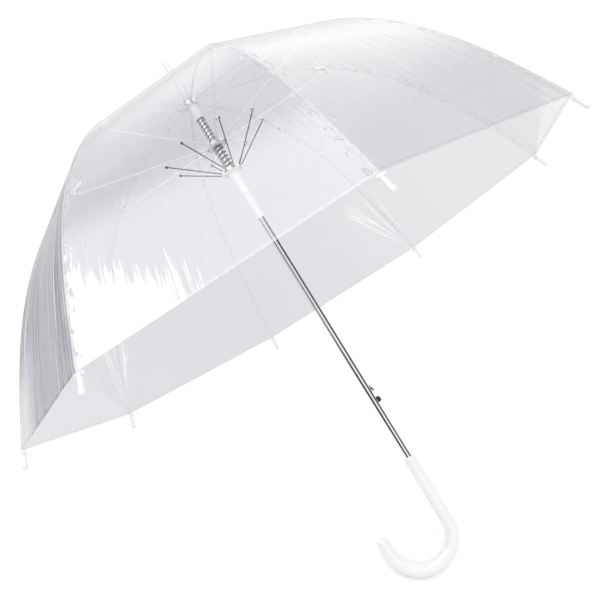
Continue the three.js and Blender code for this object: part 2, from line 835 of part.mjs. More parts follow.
const umbrella = new THREE.Group();
umbrella.add(
  mesh('shaft_tube', shaftSolid(), chrome),
  mesh('ferrule', ferruleSolid(), whitePlastic),
  mesh('crown_notch', crownNotchSolid(), whitePlastic),
  mesh('crown_ring', closed(crownRing), steel),
  mesh('canopy_washer', washerRing, whitePlastic),
  mesh('canopy_film', closed(filmGeometry()), clearFilm),
  mesh('stretcher_hub', stretcherHubSolid(), whitePlastic),
  mesh('runner', runnerSolid(), whitePlastic),
  turnedTo(handle.azimuth, mesh('handle', handleSolid(), whitePlastic)),
  turnedTo(
    handle.azimuth + 180,
    mesh('catch_leaf', catchLeafSolid(), steel),
    mesh('release_button', buttonSolid(), steel),
    mesh('catch_spring', catchSpringSolid(), steel),
  ),
  ...springs(),
  ...ribOrder.map(ribAssembly),
);

// the tilt at which the handle and the two lowest tips touch the same floor
function heightAt({ x, z }, angle) {
  return z * Math.cos(angle) - x * Math.sin(angle);
}

function floorTilt() {
  const end = ahead(rimCorner, rimSlope, tip.length - tip.endRadius);
  const tipEnd = { x: end.x * Math.cos((gore / 2) * degree), z: end.z };
  const hook = handlePath.map(({ x, z }) => ({ x: x * Math.cos(handle.azimuth * degree), z }));
  let [low, high] = [lean.least * degree, lean.most * degree];
  for (let i = 0; i < lean.halvings; i += 1) {
    const angle = (low + high) / 2;
    const hookLow = Math.min(...hook.map((p, k) => heightAt(p, angle) - handleRadius(k / handle.steps)));
    const tipLow = heightAt(tipEnd, angle) - tip.endRadius;
    if (hookLow < tipLow) {
      low = angle;
    } else {
      high = angle;
    }
  }
  return (low + high) / 2;
}

umbrella.rotation.y = floorTilt();
umbrella.userData.fold = fold;

const part = new THREE.Group();
part.add(umbrella);
part.updateMatrixWorld(true);
const box = new THREE.Box3().setFromObject(part, true);
umbrella.position.set(-(box.min.x + box.max.x) / 2, -(box.min.y + box.max.y) / 2, -box.min.z);
part.updateMatrixWorld(true);

export default part;
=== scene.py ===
import json
from math import atan2, cos, hypot, pi, radians, sin, tau

import bmesh
import bpy
import numpy as np
from mathutils import Matrix, Vector, noise


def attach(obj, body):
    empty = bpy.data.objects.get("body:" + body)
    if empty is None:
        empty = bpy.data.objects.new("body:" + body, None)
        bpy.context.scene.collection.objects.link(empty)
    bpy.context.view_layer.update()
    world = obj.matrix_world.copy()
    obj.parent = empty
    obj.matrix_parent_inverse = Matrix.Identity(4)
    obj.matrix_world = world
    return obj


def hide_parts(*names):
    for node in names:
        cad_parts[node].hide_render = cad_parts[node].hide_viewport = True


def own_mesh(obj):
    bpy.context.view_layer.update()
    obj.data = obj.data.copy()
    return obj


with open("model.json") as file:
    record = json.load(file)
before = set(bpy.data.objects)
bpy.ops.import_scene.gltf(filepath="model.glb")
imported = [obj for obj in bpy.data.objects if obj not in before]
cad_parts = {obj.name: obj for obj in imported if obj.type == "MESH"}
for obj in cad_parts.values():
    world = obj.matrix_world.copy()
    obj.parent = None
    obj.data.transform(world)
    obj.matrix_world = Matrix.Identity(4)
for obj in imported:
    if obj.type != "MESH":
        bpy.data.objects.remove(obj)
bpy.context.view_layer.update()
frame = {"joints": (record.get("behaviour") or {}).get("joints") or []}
print("frame loaded")

joints = {joint["name"]: joint for joint in frame["joints"]}
ribs = range(1, 9)
halfGore = pi / len(ribs)

# the umbrella's own axes in millimetres: +Z up the shaft, +X on the side that lies low, and height zero at the
# crown pins
pinCircle = [Vector(joints[f"rib_fold_{k}"]["pos_m"]) for k in ribs]
crownPoint = sum(pinCircle, Vector()) / len(ribs)
upShaft = -Vector(joints["runner_slide"]["axis"]).normalized()
acrossShaft = Vector((0, 1, 0))
axes = np.array([acrossShaft.cross(upShaft), acrossShaft, upShaft])
toRow = Matrix([[axes[j][i] / 1000 for j in range(3)] + [crownPoint[i]] for i in range(3)] + [[0, 0, 0, 1]])


def placed(point):  # from the umbrella's millimetres to the row's metres
    return toRow @ Vector(point)


def turnedTo(point, azimuth):
    return Matrix.Rotation(azimuth, 3, "Z") @ Vector(point)


def ribAzimuth(k):
    return (2 * k - 1) * halfGore


def linked(name, data):
    thing = bpy.data.objects.new(name, data)
    bpy.context.scene.collection.objects.link(thing)
    return thing


# camera

viewpoint = dict(
    place=(-0.65579, 0.61298, 0.84460), turn=(58.4127, 0.1056, -134.0965), lens=43.97, shift=(-0.00933, -0.00633),
    nearest=0.01,
)
cameraData = bpy.data.cameras.new("photoView")
cameraData.lens = viewpoint["lens"]
cameraData.shift_x, cameraData.shift_y = viewpoint["shift"]
cameraData.clip_start = viewpoint["nearest"]
camera = linked("photoView", cameraData)
camera.location = viewpoint["place"]
camera.rotation_euler = [radians(angle) for angle in viewpoint["turn"]]
bpy.context.scene.camera = camera
bpy.context.scene.view_settings.view_transform = "Standard"


class Wire:  # one socket of a shader, with the sums that may be done on it
    def __init__(self, paint, socket):
        self.paint, self.socket = paint, socket

    def sum(self, operation, *others):
        return self.paint.node("ShaderNodeMath", {"operation": operation}, dict(enumerate((self, *others))))

    def __add__(self, other):
        return self.sum("ADD", other)

    def __sub__(self, other):
        return self.sum("SUBTRACT", other)

    def __mul__(self, other):
        return self.sum("MULTIPLY", other)

    def __pow__(self, other):
        return self.sum("POWER", other)

    def __rsub__(self, other):
        return self.paint.node("ShaderNodeMath", {"operation": "SUBTRACT"}, {0: other, 1: self})

    def __radd__(self, other):
        return self.sum("ADD", other)

    def __rmul__(self, other):
        return self.sum("MULTIPLY", other)


class Paint:  # makes and links a shader's nodes
    def __init__(self, tree):
        self.tree = tree
        self.tree.nodes.clear()

    def node(self, kind, settings=None, sockets=None, out=0):
        made = self.tree.nodes.new(kind)
        for name, value in (settings or {}).items():
            if name == "stops":
                setStops(made.color_ramp, value)
            else:
                setattr(made, name, value)
        for name, value in (sockets or {}).items():
            if isinstance(value, Wire):
                self.tree.links.new(value.socket, made.inputs[name])
            else:
                made.inputs[name].default_value = value
        return Wire(self, made.outputs[out]) if made.outputs else None

    def between(self, value, low, high):  # 0 below low, 1 above high, smooth in between
        sockets = {"Value": value, "From Min": low, "From Max": high}
        return self.node("ShaderNodeMapRange", {"interpolation_type": "SMOOTHSTEP"}, sockets)

    def inside(self, value, limits, fade):  # 1 between the two limits, 0 outside them
        low, high = limits
        return self.between(value, low - fade, low + fade) * (1 - self.between(value, high - fade, high + fade))

    def stepped(self, value, stops):  # follows a table of places and greys
        return self.node("ShaderNodeValToRGB", {"stops": stops}, {0: value})

    def mixed(self, share, first, second):
        return self.node("ShaderNodeMix", {"data_type": "RGBA"}, {0: share, 6: first, 7: second}, out=2)

    def blended(self, share, first, second):
        return self.node("ShaderNodeMixShader", {}, {0: share, 1: first, 2: second})

    def noise(self, place, scale, detail=3, roughness=0.5):
        sockets = {"Vector": place, "Scale": scale, "Detail": detail, "Roughness": roughness}
        return self.node("ShaderNodeTexNoise", {}, sockets)

    def place(self):
        return self.node("ShaderNodeTexCoord", out="Object")

    def chart(self, name):  # both values of a chart that the piece's mesh carries
        flat = self.node("ShaderNodeUVMap", {"uv_map": name})
        return [self.node("ShaderNodeSeparateXYZ", {}, {0: flat}, out=i) for i in range(2)]

    def bump(self, height, strength, distance=0.001):
        return self.node("ShaderNodeBump", {}, {"Height": height, "Strength": strength, "Distance": distance})

    def principled(self, sockets):
        return self.node("ShaderNodeBsdfPrincipled", {}, sockets)

    def clear(self, colour):
        return self.node("ShaderNodeBsdfTransparent", {}, {"Color": colour})

    def surface(self, shader):
        self.node("ShaderNodeOutputMaterial", {}, {"Surface": shader})


def rgb(red, green, blue):
    return (red, green, blue, 1)


def grey(tone):
    return rgb(tone, tone, tone)


def setStops(ramp, stops):
    while len(ramp.elements) < len(stops):
        ramp.elements.new(1)
    for element, (place, tone) in zip(ramp.elements, stops):
        element.position, element.color = place, grey(tone)


def finish(name):
    material = bpy.data.materials.new(name)
    material.use_nodes = True
    return material, Paint(material.node_tree)


# pale moulded and drawn finishes: a tone that drifts a little, a mould's faint orange peel and dust in its gloss

moulded = dict(drift=14, driftLevel=(0.3, 0.75), dust=0.12, dustLevel=(0.45, 0.85), ior=1.47, coatRoughness=0.04)
drawn = dict(wear=260, wearLevel=(0.5, 0.72), wearRoughness=0.2, scratches=900)
chrome = dict(
    base=rgb(0.81, 0.82, 0.84), hazed=rgb(0.72, 0.73, 0.75), haze=30, hazeLevel=(0.4, 0.8), roughness=0.02,
    hazeRoughness=0.05, scratches=700, scratchDepth=0.02,
)
fibre = dict(
    base=rgb(0.9, 0.905, 0.91), shade=rgb(0.8, 0.81, 0.825), strands=300, strandLevel=(0.35, 0.7), roughness=0.3,
    patches=120, patchRoughness=0.2, ior=1.5, strandDepth=(0.15, 0.0003), resin=rgb(0.93, 0.94, 0.95), clear=0.5,
    clearStrands=0.2,
)


def mouldedFinish(name, colour, shade, gloss, coat, grain, peel, peelDepth):
    material, paint = finish(name)
    place = paint.place()
    drift = paint.between(paint.noise(place, moulded["drift"], 2), *moulded["driftLevel"])
    dust = paint.between(paint.noise(place, grain, 5, 0.7), *moulded["dustLevel"])
    paint.surface(paint.principled({
        "Base Color": paint.mixed(drift, colour, shade), "Roughness": gloss + moulded["dust"] * dust,
        "IOR": moulded["ior"], "Coat Weight": coat, "Coat Roughness": moulded["coatRoughness"],
        "Normal": paint.bump(paint.noise(place, peel, 2), peelDepth),
    }))
    return material


def wireFinish(name, colour, speckle, roughness, scratchDepth, metallic):
    material, paint = finish(name)
    place = paint.place()
    wear = paint.between(paint.noise(place, drawn["wear"], 4, 0.65), *drawn["wearLevel"])
    paint.surface(paint.principled({
        "Base Color": paint.mixed(wear, colour, speckle), "Metallic": metallic,
        "Roughness": roughness + drawn["wearRoughness"] * wear,
        "Normal": paint.bump(paint.noise(place, drawn["scratches"]), scratchDepth),
    }))
    return material


def chromeFinish():
    material, paint = finish("shaftChrome")
    place = paint.place()
    haze = paint.between(paint.noise(place, chrome["haze"], 4, 0.6), *chrome["hazeLevel"])
    paint.surface(paint.principled({
        "Base Color": paint.mixed(haze, chrome["base"], chrome["hazed"]), "Metallic": 1.0,
        "Roughness": chrome["roughness"] + chrome["hazeRoughness"] * haze,
        "Normal": paint.bump(paint.noise(place, chrome["scratches"]), chrome["scratchDepth"]),
    }))
    return material


def fibreFinish():
    material, paint = finish("ribFibre")
    place = paint.place()
    strands = paint.noise(place, fibre["strands"], 3, 0.6)
    base = paint.mixed(paint.between(strands, *fibre["strandLevel"]), fibre["base"], fibre["shade"])
    patches = paint.noise(place, fibre["patches"], 4)
    rod = paint.principled({
        "Base Color": base, "Roughness": fibre["roughness"] + fibre["patchRoughness"] * patches,
        "IOR": fibre["ior"], "Normal": paint.bump(strands, *fibre["strandDepth"]),
    })
    resin = paint.clear(fibre["resin"])  # light passes between the strands
    paint.surface(paint.blended(fibre["clear"] + fibre["clearStrands"] * strands, rod, resin))
    return material


# clear film: it lets most light through, and shows itself by its gloss, one creased gore with painted shade and
# painted highlights in its folds, painted white glints beside the ribs, and short pleats at the tips with painted
# highlights on them; the gores that lie low get a darker tint, a painted shade; the welded edges are milky. Places
# round the dome run from 0 to 1.

film = dict(
    # the low tint and its shares round the dome are painted shade on the gores that lie low, next to the floor
    clear=rgb(0.87, 0.875, 0.885), low=rgb(0.68, 0.685, 0.71), edge=rgb(0.42, 0.42, 0.45), edgePower=7,
    lowShadeShares=((0, 1), (0.125, 0.95), (0.375, 0.28), (0.5, 0), (0.625, 0.63), (0.75, 0.63), (0.875, 0.95), (1, 1)),
    white=rgb(0.95, 0.95, 0.96), whiteRoughness=(0.4, 0.2), backlit=0.6, haze=0.02, shine=1.5, mostShine=0.7,
    facingShine=0.035, shinePower=5, shineRoughness=(0.03, 0.05), waves=(28, 4), waveDepth=0.3, bump=0.002,
    fade=0.01,
)
# the creased gore: its tone and its dark folds are painted shade, its white folds painted highlights; its bumps
# are real folds
creased = dict(
    gore=(0.1875, 0.3125), edge=0.002, start=(0.28, 0.8), folds=(62, 2.2), foldDetail=(4, 0.68),
    smooth=(0.252, 0.29), smoothShare=0.75, foldHighlights=(0.58, 0.62), foldShade=(0.41, 0.48), depth=0.8,
    tone=rgb(0.61, 0.6, 0.64), dark=rgb(0.34, 0.33, 0.36), dull=0.8, paleCorner=(0.2, 0.25),
    paleStart=(0.74, 0.94), paleShare=0.75,
)
# glints beside the ribs: white flecks painted as highlights, on bumps that catch the room's reflection
ribGlints = dict(
    reach=(0.05, 0.1), start=(0.3, 0.4), size=(12, 7), level=(0.54, 0.6), white=0.6, grain=(60, 30), depth=2.5,
    most=(0.54, 0.72), least=0.25,
)
# pleats fanning from the tips: bumps with painted white highlights along their lines
pleats = dict(
    start=(0.1, 0.2), reach=(0.9, 1.7), spread=(-0.15, 0.45), spreadFade=0.1, size=(13, 0.6), line=(0.52, 0.6),
    depth=0.3, most=((0.77, 0.85), (0.02, 0.11)), least=0.1,
)
weld = dict(
    # the up-side mask and the low side's milk: hems and seams are painted milkier and glossier on the lit upper
    # side, a painted light
    waves=(60, 30), clear=grey(0.99), grey=rgb(0.75, 0.75, 0.77), litSide=(-0.2, 0.5), shadedSideMilk=0.15,
    drift=(0.8, 0.4), gloss=(0.15, 0.5), bump=(0.05, 0.001), line=(0.036, 0.041), lineFade=0.003,
    # a painted highlight: a white streak along the seam of rib 7
    hemStart=(0.026, 0.034), seamHighlight=(0.8, 0.825), seamHighlightFade=0.002, seamHighlightReach=(0.35, 1.0), seamHighlightEnd=0.1,
)


def ringPlace(paint, around, down, fineness):  # a place for noise that runs on round the dome
    turn = around * tau
    values = [turn.sum("COSINE") * fineness[0], turn.sum("SINE") * fineness[0], down * fineness[1]]
    return paint.node("ShaderNodeCombineXYZ", {}, dict(enumerate(values)))


def flatPlace(paint, first, second):
    return paint.node("ShaderNodeCombineXYZ", {}, {0: first, 1: second})


def glazed(paint, through, white, normal, shade, gloss=1):  # what passes, what is milky, the gloss over both
    facing = paint.node("ShaderNodeLayerWeight", {}, {"Blend": 0.5, "Normal": normal}, out="Facing")
    plain, drift = film["whiteRoughness"]
    face = paint.principled({"Base Color": film["white"], "Roughness": plain + drift * shade, "Normal": normal})
    lit = paint.node("ShaderNodeBsdfTranslucent", {}, {"Color": film["white"]})  # glows with the light behind it
    sheet = paint.blended(film["backlit"], face, lit)
    plain, drift = film["shineRoughness"]
    mirror = paint.principled({
        "Base Color": grey(1), "Metallic": 1.0, "Roughness": plain + drift * shade, "Normal": normal,
    })
    clear = paint.blended(facing ** film["edgePower"], through, paint.clear(film["edge"]))
    body = paint.blended(white.sum("MINIMUM", 1.0), clear, sheet)
    slanting = (1 - film["facingShine"]) * facing ** film["shinePower"]
    shine = film["shine"] * (film["facingShine"] + slanting)
    paint.surface(paint.blended(shine.sum("MINIMUM", film["mostShine"]) * gloss, body, mirror))


def clearFinish():
    material, paint = finish("clearFilm")
    around, down = paint.chart("along")
    across, toRim = paint.chart("fromTip")
    fade = film["fade"]
    wave = paint.noise(ringPlace(paint, around, down, film["waves"]), 1)

    pale = (1 - paint.between(around, *creased["paleCorner"])) * paint.between(down, *creased["paleStart"])
    inGore = paint.inside(around, creased["gore"], creased["edge"]) * paint.between(down, *creased["start"])
    inGore = inGore * (1 - creased["paleShare"] * pale)
    fold = paint.noise(ringPlace(paint, around, down, creased["folds"]), 1, *creased["foldDetail"])
    folded = inGore * (1 - creased["smoothShare"] * paint.inside(around, creased["smooth"], fade))

    # painted highlights: white glints beside the ribs on their lower part, partly also bumps that catch the
    # reflection
    nearRib = 1 - paint.between(across.sum("ABSOLUTE"), *ribGlints["reach"])
    speckle = paint.noise(flatPlace(paint, across * ribGlints["size"][0], toRim * ribGlints["size"][1]), 1, 2)
    glintZone = nearRib * (paint.inside(around, ribGlints["most"], fade) * (1 - ribGlints["least"]) + ribGlints["least"])
    glint = glintZone * paint.between(down, *ribGlints["start"]) * paint.between(speckle, *ribGlints["level"])

    away = (across * across + toRim * toRim) ** 0.5
    angle = across.sum("ARCTAN2", toRim)
    ray = paint.noise(flatPlace(paint, angle * pleats["size"][0], away * pleats["size"][1]), 1, 2)
    most = sum(paint.inside(around, stretch, fade) for stretch in pleats["most"])
    fan = paint.between(away, *pleats["start"]) * (1 - paint.between(away, *pleats["reach"]))
    fan = fan * paint.inside(angle, pleats["spread"], pleats["spreadFade"])
    # the pleat lines are bumps and painted white highlights
    pleatAndHighlight = fan * (most * (1 - pleats["least"]) + pleats["least"]) * paint.inside(ray, pleats["line"], fade)

    ruffle = paint.noise(flatPlace(paint, across * ribGlints["grain"][0], toRim * ribGlints["grain"][1]), 1, 1)
    white = film["haze"] + ribGlints["white"] * glint + pleatAndHighlight + folded * paint.between(fold, *creased["foldHighlights"])
    # painted shade: the film of the gores that lie low is tinted darker
    lowSideShade = paint.stepped(around, film["lowShadeShares"])
    # painted shade and painted highlights in the creased gore: a darker tint, darker still along some folds and
    # white along others
    dark = folded * (1 - paint.between(fold, *creased["foldShade"]))
    even = paint.blended(lowSideShade, paint.clear(film["clear"]), paint.clear(film["low"]))
    gore = paint.blended(dark, paint.clear(creased["tone"]), paint.clear(creased["dark"]))
    rise = wave * film["waveDepth"] + fold * folded * creased["depth"]
    rise = rise + (glint * ribGlints["depth"] + pleatAndHighlight * pleats["depth"]) * ruffle
    normal = paint.bump(rise, 1.0, film["bump"])
    glazed(paint, paint.blended(inGore, even, gore), white, normal, wave, 1 - creased["dull"] * inGore)
    return material


def weldFinish(name, milk, lined):  # the double film of a hem, which is lined, or of a seam
    material, paint = finish(name)
    around, down = paint.chart("along")
    across, toRim = paint.chart("fromTip")
    wave = paint.noise(ringPlace(paint, around, down, weld["waves"]), 1)
    # painted light: hems and seams are milkier and glossier on the lit upper side, and the hem's grey line shows
    # only there
    litSide = 1 - paint.between((around * tau).sum("COSINE"), *weld["litSide"])
    line = paint.inside(toRim, weld["line"], weld["lineFade"]) * lined * litSide
    # painted highlight: a white streak along the seam of rib 7
    seamHighlight = (1 - lined) * paint.inside(around, weld["seamHighlight"], weld["seamHighlightFade"])
    seamHighlight = seamHighlight * paint.inside(toRim, weld["seamHighlightReach"], weld["seamHighlightEnd"])
    even, drift = weld["drift"]
    milky = milk * (weld["shadedSideMilk"] + (1 - weld["shadedSideMilk"]) * litSide) * (even + drift * wave)
    white = milky * (1 - lined * paint.between(toRim, *weld["hemStart"])) + seamHighlight
    through = paint.blended(line, paint.clear(weld["clear"]), paint.clear(weld["grey"]))
    lowGloss, moreGloss = weld["gloss"]
    glazed(paint, through, white, paint.bump(wave, *weld["bump"]), wave, lowGloss + moreGloss * litSide)
    return material


whiteGloss = mouldedFinish(
    "whiteGloss", rgb(0.9, 0.905, 0.915), rgb(0.86, 0.865, 0.88), gloss=0.2, coat=0.3, grain=180, peel=420,
    peelDepth=0.05,
)
whiteHandle = mouldedFinish(
    "whiteHandle", rgb(0.9, 0.9, 0.905), rgb(0.87, 0.87, 0.88), gloss=0.12, coat=0.6, grain=90, peel=160,
    peelDepth=0.03,
)
whiteStrut = mouldedFinish(
    "whiteStrut", rgb(0.9, 0.905, 0.91), rgb(0.84, 0.845, 0.855), gloss=0.3, coat=0.1, grain=240, peel=500,
    peelDepth=0.08,
)
ribFibre = fibreFinish()
shaftChrome = chromeFinish()
darkWire = wireFinish(
    "darkWire", rgb(0.045, 0.048, 0.055), rgb(0.16, 0.165, 0.175), roughness=0.35, scratchDepth=0.05,
    metallic=0.8,
)
darkSteel = wireFinish(
    "darkSteel", rgb(0.085, 0.095, 0.092), rgb(0.24, 0.25, 0.245), roughness=0.3, scratchDepth=0.05,
    metallic=0.85,
)
paleCoil = wireFinish(
    "paleCoil", rgb(0.22, 0.23, 0.24), rgb(0.42, 0.43, 0.45), roughness=0.3, scratchDepth=0.03, metallic=1.0,
)
clearFilm = clearFinish()
hemFilm = weldFinish("hemFilm", milk=0.1, lined=1)
seamFilm = weldFinish("seamFilm", milk=0.5, lined=0)
print("finishes made")


# mesh helpers: shapes are a list of points and a list of faces, in millimetres

def loft(rings, closed=False):
    count = len(rings[0])
    points = np.concatenate(rings)
    faces = []
    for i in range(len(rings) if closed else len(rings) - 1):
        here, there = i * count, (i + 1) % len(rings) * count
        faces += [(here + k, here + (k + 1) % count, there + (k + 1) % count, there + k) for k in range(count)]
    if not closed:
        last = (len(rings) - 1) * count
        faces += [tuple(range(count))[::-1], tuple(range(last, last + count))]
    return points, faces


def bar(line, stations, around):  # a station is a distance along the line and the radius there
    turn = np.arange(around) * tau / around
    rings = []
    for along, radius in stations:
        x, z, slope = line(along)
        rise, across = radius * np.cos(turn), radius * np.sin(turn)
        rings.append(np.column_stack([x - rise * sin(slope), across, z + rise * cos(slope)]))
    return loft(rings)


def straight(start, end):
    slope = atan2(end[1] - start[1], end[0] - start[0])
    return lambda along: (start[0] + along * cos(slope), start[1] + along * sin(slope), slope)


def rounded(profile, radius, steps=4):  # fillets at the corners of a closed profile that lie off the axis
    result = []
    for i, corner in enumerate(np.array(profile, float)):
        before, after = np.array(profile[i - 1], float), np.array(profile[(i + 1) % len(profile)], float)
        if corner[0] < 1e-6:
            result.append(tuple(corner))
            continue
        sides = [(far - corner, np.linalg.norm(far - corner)) for far in (before, after)]
        start, end = (corner + side * min(0.45, radius / length) for side, length in sides)
        for t in np.linspace(0, 1, steps + 1):
            result.append(tuple((1 - t) ** 2 * start + 2 * t * (1 - t) * corner + t ** 2 * end))
    return result


def turned(profile, around=72):
    turn = np.arange(around) * tau / around
    rings = [np.column_stack([r * np.cos(turn), r * np.sin(turn), np.full(around, z)]) for r, z in profile]
    return loft(rings, closed=True)


def wound(radius, wire, turns, bottom, top, steps=40, around=12):
    share = np.linspace(0, 1, round(turns * steps) + 1)
    turn = share * turns * tau
    closing = 0.9 / turns  # the first and last turn lie nearly flat
    height = np.interp(share, [0, closing, 1 - closing, 1], [0, closing * 0.3, 1 - closing * 0.3, 1])
    rise = bottom + wire + (top - bottom - 2 * wire) * height
    centre = np.column_stack([radius * np.cos(turn), radius * np.sin(turn), rise])
    along = np.gradient(centre, axis=0)
    along /= np.linalg.norm(along, axis=1)[:, None]
    out = np.column_stack([np.cos(turn), np.sin(turn), np.zeros_like(turn)])
    up = np.cross(along, out)
    section = np.arange(around) * tau / around
    rings = [c + wire * (np.outer(np.cos(section), o) + np.outer(np.sin(section), u))
             for c, o, u in zip(centre, out, up)]
    return loft(rings)


def plate(outline, low, high):  # an outline in the radial plane, given thickness across it
    return loft([np.array([(x, across, z) for x, z in outline]) for across in (low, high)])


def strap(start, end, radius, steps=12):  # the outline round two equal circles
    slope = atan2(end[1] - start[1], end[0] - start[0])
    outline = []
    for centre, first in ((end, slope - pi / 2), (start, slope + pi / 2)):
        for i in range(steps + 1):
            angle = first + pi * i / steps
            outline.append((centre[0] + radius * cos(angle), centre[1] + radius * sin(angle)))
    return outline


def crossPin(centre, radius, low, high, around=24):
    turn = np.arange(around) * tau / around
    return plate([(centre[0] + radius * cos(a), centre[1] + radius * sin(a)) for a in turn], low, high)


def ringLoop(centre, major, minor, around=28, section=10):  # a wire loop in the radial plane
    rings = []
    for a in np.arange(around) * tau / around:
        b = np.arange(section) * tau / section
        reach = major + minor * np.cos(b)
        x, z = centre[0] + reach * cos(a), centre[1] + reach * sin(a)
        rings.append(np.column_stack([x, minor * np.sin(b), z]))
    return loft(rings, closed=True)


def block(x, y, z):
    corners = [(x[0], y[0]), (x[1], y[0]), (x[1], y[1]), (x[0], y[1])]
    return loft([np.array([(*corner, height) for corner in corners]) for height in z])


def meshOf(shape, name="shape"):
    mesh = bpy.data.meshes.new(name)
    mesh.from_pydata([tuple(p) for p in shape[0]], [], shape[1])
    work = bmesh.new()
    work.from_mesh(mesh)
    bmesh.ops.remove_doubles(work, verts=work.verts, dist=1e-5)
    bmesh.ops.recalc_face_normals(work, faces=work.faces)
    work.to_mesh(mesh)
    work.free()
    return mesh


def combined(first, *steps):  # each step is UNION or DIFFERENCE and a shape
    thing = linked("work", meshOf(first))
    for operation, shape in steps:
        other = linked("other", meshOf(shape))
        modifier = thing.modifiers.new("cut", "BOOLEAN")
        modifier.operation, modifier.object, modifier.solver = operation, other, "EXACT"
        made = bpy.data.meshes.new_from_object(thing.evaluated_get(bpy.context.evaluated_depsgraph_get()))
        thing.modifiers.clear()
        thing.data = made
        bpy.data.objects.remove(other)
    points = np.array([v.co for v in thing.data.vertices])
    faces = [tuple(p.vertices) for p in thing.data.polygons]
    bpy.data.objects.remove(thing)
    return points, faces


def assign(piece, body, stands):  # what the frame has to know of a piece
    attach(piece, body)
    if stands:
        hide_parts(*stands)
    return piece


def makePiece(name, shape, material, body, stands=(), azimuth=0.0, bevel=0.0, sharp=35):
    mesh = meshOf(shape, name)
    mesh.transform(toRow @ Matrix.Rotation(azimuth, 4, "Z"))
    mesh.materials.append(material)
    mesh.shade_smooth()
    mesh.set_sharp_from_angle(angle=radians(sharp))
    piece = linked(name, mesh)
    if bevel:
        edge = piece.modifiers.new("edge", "BEVEL")
        edge.width, edge.segments = bevel / 1000, 2
        edge.limit_method, edge.angle_limit = "ANGLE", radians(sharp)
    return assign(piece, body, stands)


# the rib's line in its radial plane: most bent at the stretcher joint, straight at the crown and at the tip

rib = dict(
    length=562, inner=205.7, crownAngle=-4.4, bendRadius=265, pinCircle=9.5, step=0.25, lastStep=600, radius=1.5,
    outerRadius=1.3, neck=1.2, outerNeck=1.1, start=8, upperEnd=194, pastRim=14, tongue=1.2, tongueReach=9,
    crownEye=2.2, crownHole=0.9, jointEye=1.9, jointHole=0.85,
)


def ribSlope(along):
    inner, outer = np.minimum(along, rib["inner"]), np.maximum(along - rib["inner"], 0)
    turn = inner ** 2 / (2 * rib["inner"]) + outer - outer ** 2 / (2 * (rib["length"] - rib["inner"]))
    return radians(rib["crownAngle"]) - turn / rib["bendRadius"]


ribSteps = np.arange(0, rib["lastStep"], rib["step"])
ribSlopes = ribSlope(np.minimum(ribSteps + rib["step"] / 2, rib["length"]))
ribX = rib["pinCircle"] + np.concatenate([[0], np.cumsum(rib["step"] * np.cos(ribSlopes))[:-1]])
ribZ = np.concatenate([[0], np.cumsum(rib["step"] * np.sin(ribSlopes))[:-1]])


def ribLine(along):
    x, z = np.interp(along, ribSteps, ribX), np.interp(along, ribSteps, ribZ)
    return float(x), float(z), float(ribSlope(min(along, rib["length"])))


def above(along, height):
    x, z, slope = ribLine(along)
    return x - height * sin(slope), z + height * cos(slope)


def ahead(start, slope, distance):
    return start[0] + distance * cos(slope), start[1] + distance * sin(slope)


def apart(start, end):
    return hypot(end[0] - start[0], end[1] - start[1])


# a station is a distance from the strut's or the wire's one end, or from its other end, and the radius there
stretcher = dict(
    hub=(14.5, -73), middleAt=64.8, middleDrop=6.1, pinDrop=6, middleEye=1.9,
    stations=((5, 1.0), (8, 1.0), (9, 1.4)), outerStations=((9, 1.4), (7.5, 1.1), (6, 1.1)),
)
link = dict(
    runner=(14.5, -117.2), across=2.5, runnerLoop=(1.15, 0.5), middleLoop=(1.5, 0.6),
    stations=((1.2, 0.7), (2, 0.8)), outerStations=((2.4, 0.8), (1.6, 0.7)),
)
crownPin, flexPin = (rib["pinCircle"], 0), ribLine(rib["inner"])[:2]
outerPin = above(rib["inner"], -stretcher["pinDrop"])
strutLine = straight(stretcher["hub"], outerPin)
strutSlope, strutLength = strutLine(0)[2], apart(stretcher["hub"], outerPin)
middleFoot = ahead(stretcher["hub"], strutSlope, stretcher["middleAt"])
middlePin = ahead(middleFoot, strutSlope - pi / 2, stretcher["middleDrop"])

# shaft, catch and release button

shaft = dict(radius=5, wall=0.8, top=46, bottom=-639.3)
catch = dict(height=-483.61, length=10, reach=3.2, thickness=1.6, depth=4.6, wall=1.6)
button = dict(height=-501.71, length=8.4, reach=4.6, thickness=3.2, depth=4.6)
leafSpring = dict(back=-3.4, face=0.1, leaf=0.5, above=6, half=1.2)
handle = dict(
    top=-589.3, straight=96.2, bendRadius=45.3, bendAngle=176, endLength=24.4, azimuth=48.9,
    grip=[(0, 8.5), (0.35, 9.3), (0.6, 10.2), (0.78, 10.9), (0.93, 9.6), (1, 8.2)], gripStart=3, endRound=3,
    endGap=3.2, mouth=[(0, 7.4), (0.35, 8.15), (1.1, 8.5)], boreDepth=50,
)
catchAzimuth = radians(handle["azimuth"] + 180)


def atCatch(shape):  # turned round the shaft to the catch's side
    return np.array([turnedTo(point, catchAzimuth) for point in shape[0]]), shape[1]


def shaftWindow(part, margin=0.3):
    half, reach = part["thickness"] / 2 + margin, part["length"] / 2 + margin
    heights = part["height"] - reach, part["height"] + reach
    return atCatch(block((0, shaft["radius"] + 2), (-half, half), heights))


outer, inner = shaft["radius"], shaft["radius"] - shaft["wall"]
top, bottom = shaft["top"], shaft["bottom"]
pipe = turned([(inner, bottom), (outer, bottom), (outer, top), (inner, top)], 96)
pipe = combined(pipe, ("DIFFERENCE", shaftWindow(catch)), ("DIFFERENCE", shaftWindow(button)))
makePiece("shaftTube", pipe, shaftChrome, "frame", ["shaft_tube"])

